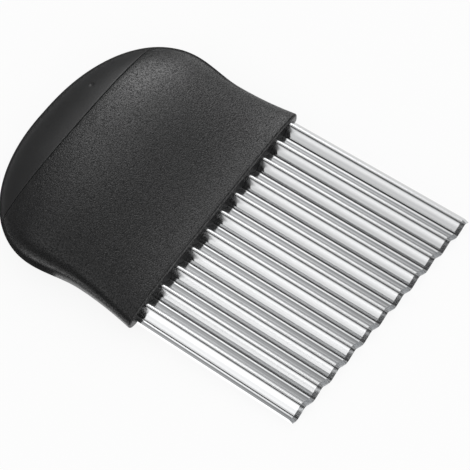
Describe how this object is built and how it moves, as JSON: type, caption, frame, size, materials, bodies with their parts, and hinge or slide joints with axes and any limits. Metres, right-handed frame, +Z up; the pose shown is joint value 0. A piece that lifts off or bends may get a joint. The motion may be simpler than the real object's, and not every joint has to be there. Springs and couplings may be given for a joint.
{
  "type": "crinkle cutter",
  "caption": "Hand crinkle cutter: a corrugated stainless steel blade set in a wide moulded plastic palm handle, pushed down through food to cut wavy slices.",
  "frame": {"origin": "middle of the footprint, on the table that the cutter lies on", "axes": "+X across the blade, +Y from the cutting edge to the palm, +Z up; the cutter lies on its palm and on the tips of the waves at its edge, so the blade's plane leans 3.8 degrees"},
  "size_m": [0.0892, 0.1324, 0.0182],
  "materials": {
    "blade_steel": "bright rolled stainless steel with a faint long grain",
    "grained_plastic": "black moulded polypropylene with a fine spark-eroded grain",
    "smooth_plastic": "black moulded polypropylene, smooth satin",
    "tang_nylon": "dark grey moulded nylon",
    "rivet_metal": "plain aluminium rivet"
  },
  "bodies": {
    "root": {"blade": "blade_steel", "handle_body": "grained_plastic", "palm_cap": "smooth_plastic", "upper_tang_bar": "tang_nylon", "lower_tang_bar": "tang_nylon", "tang_rivet_1": "rivet_metal", "tang_rivet_2": "rivet_metal", "tang_rivet_3": "rivet_metal", "tang_rivet_4": "rivet_metal"}
  },
  "joints": []
}
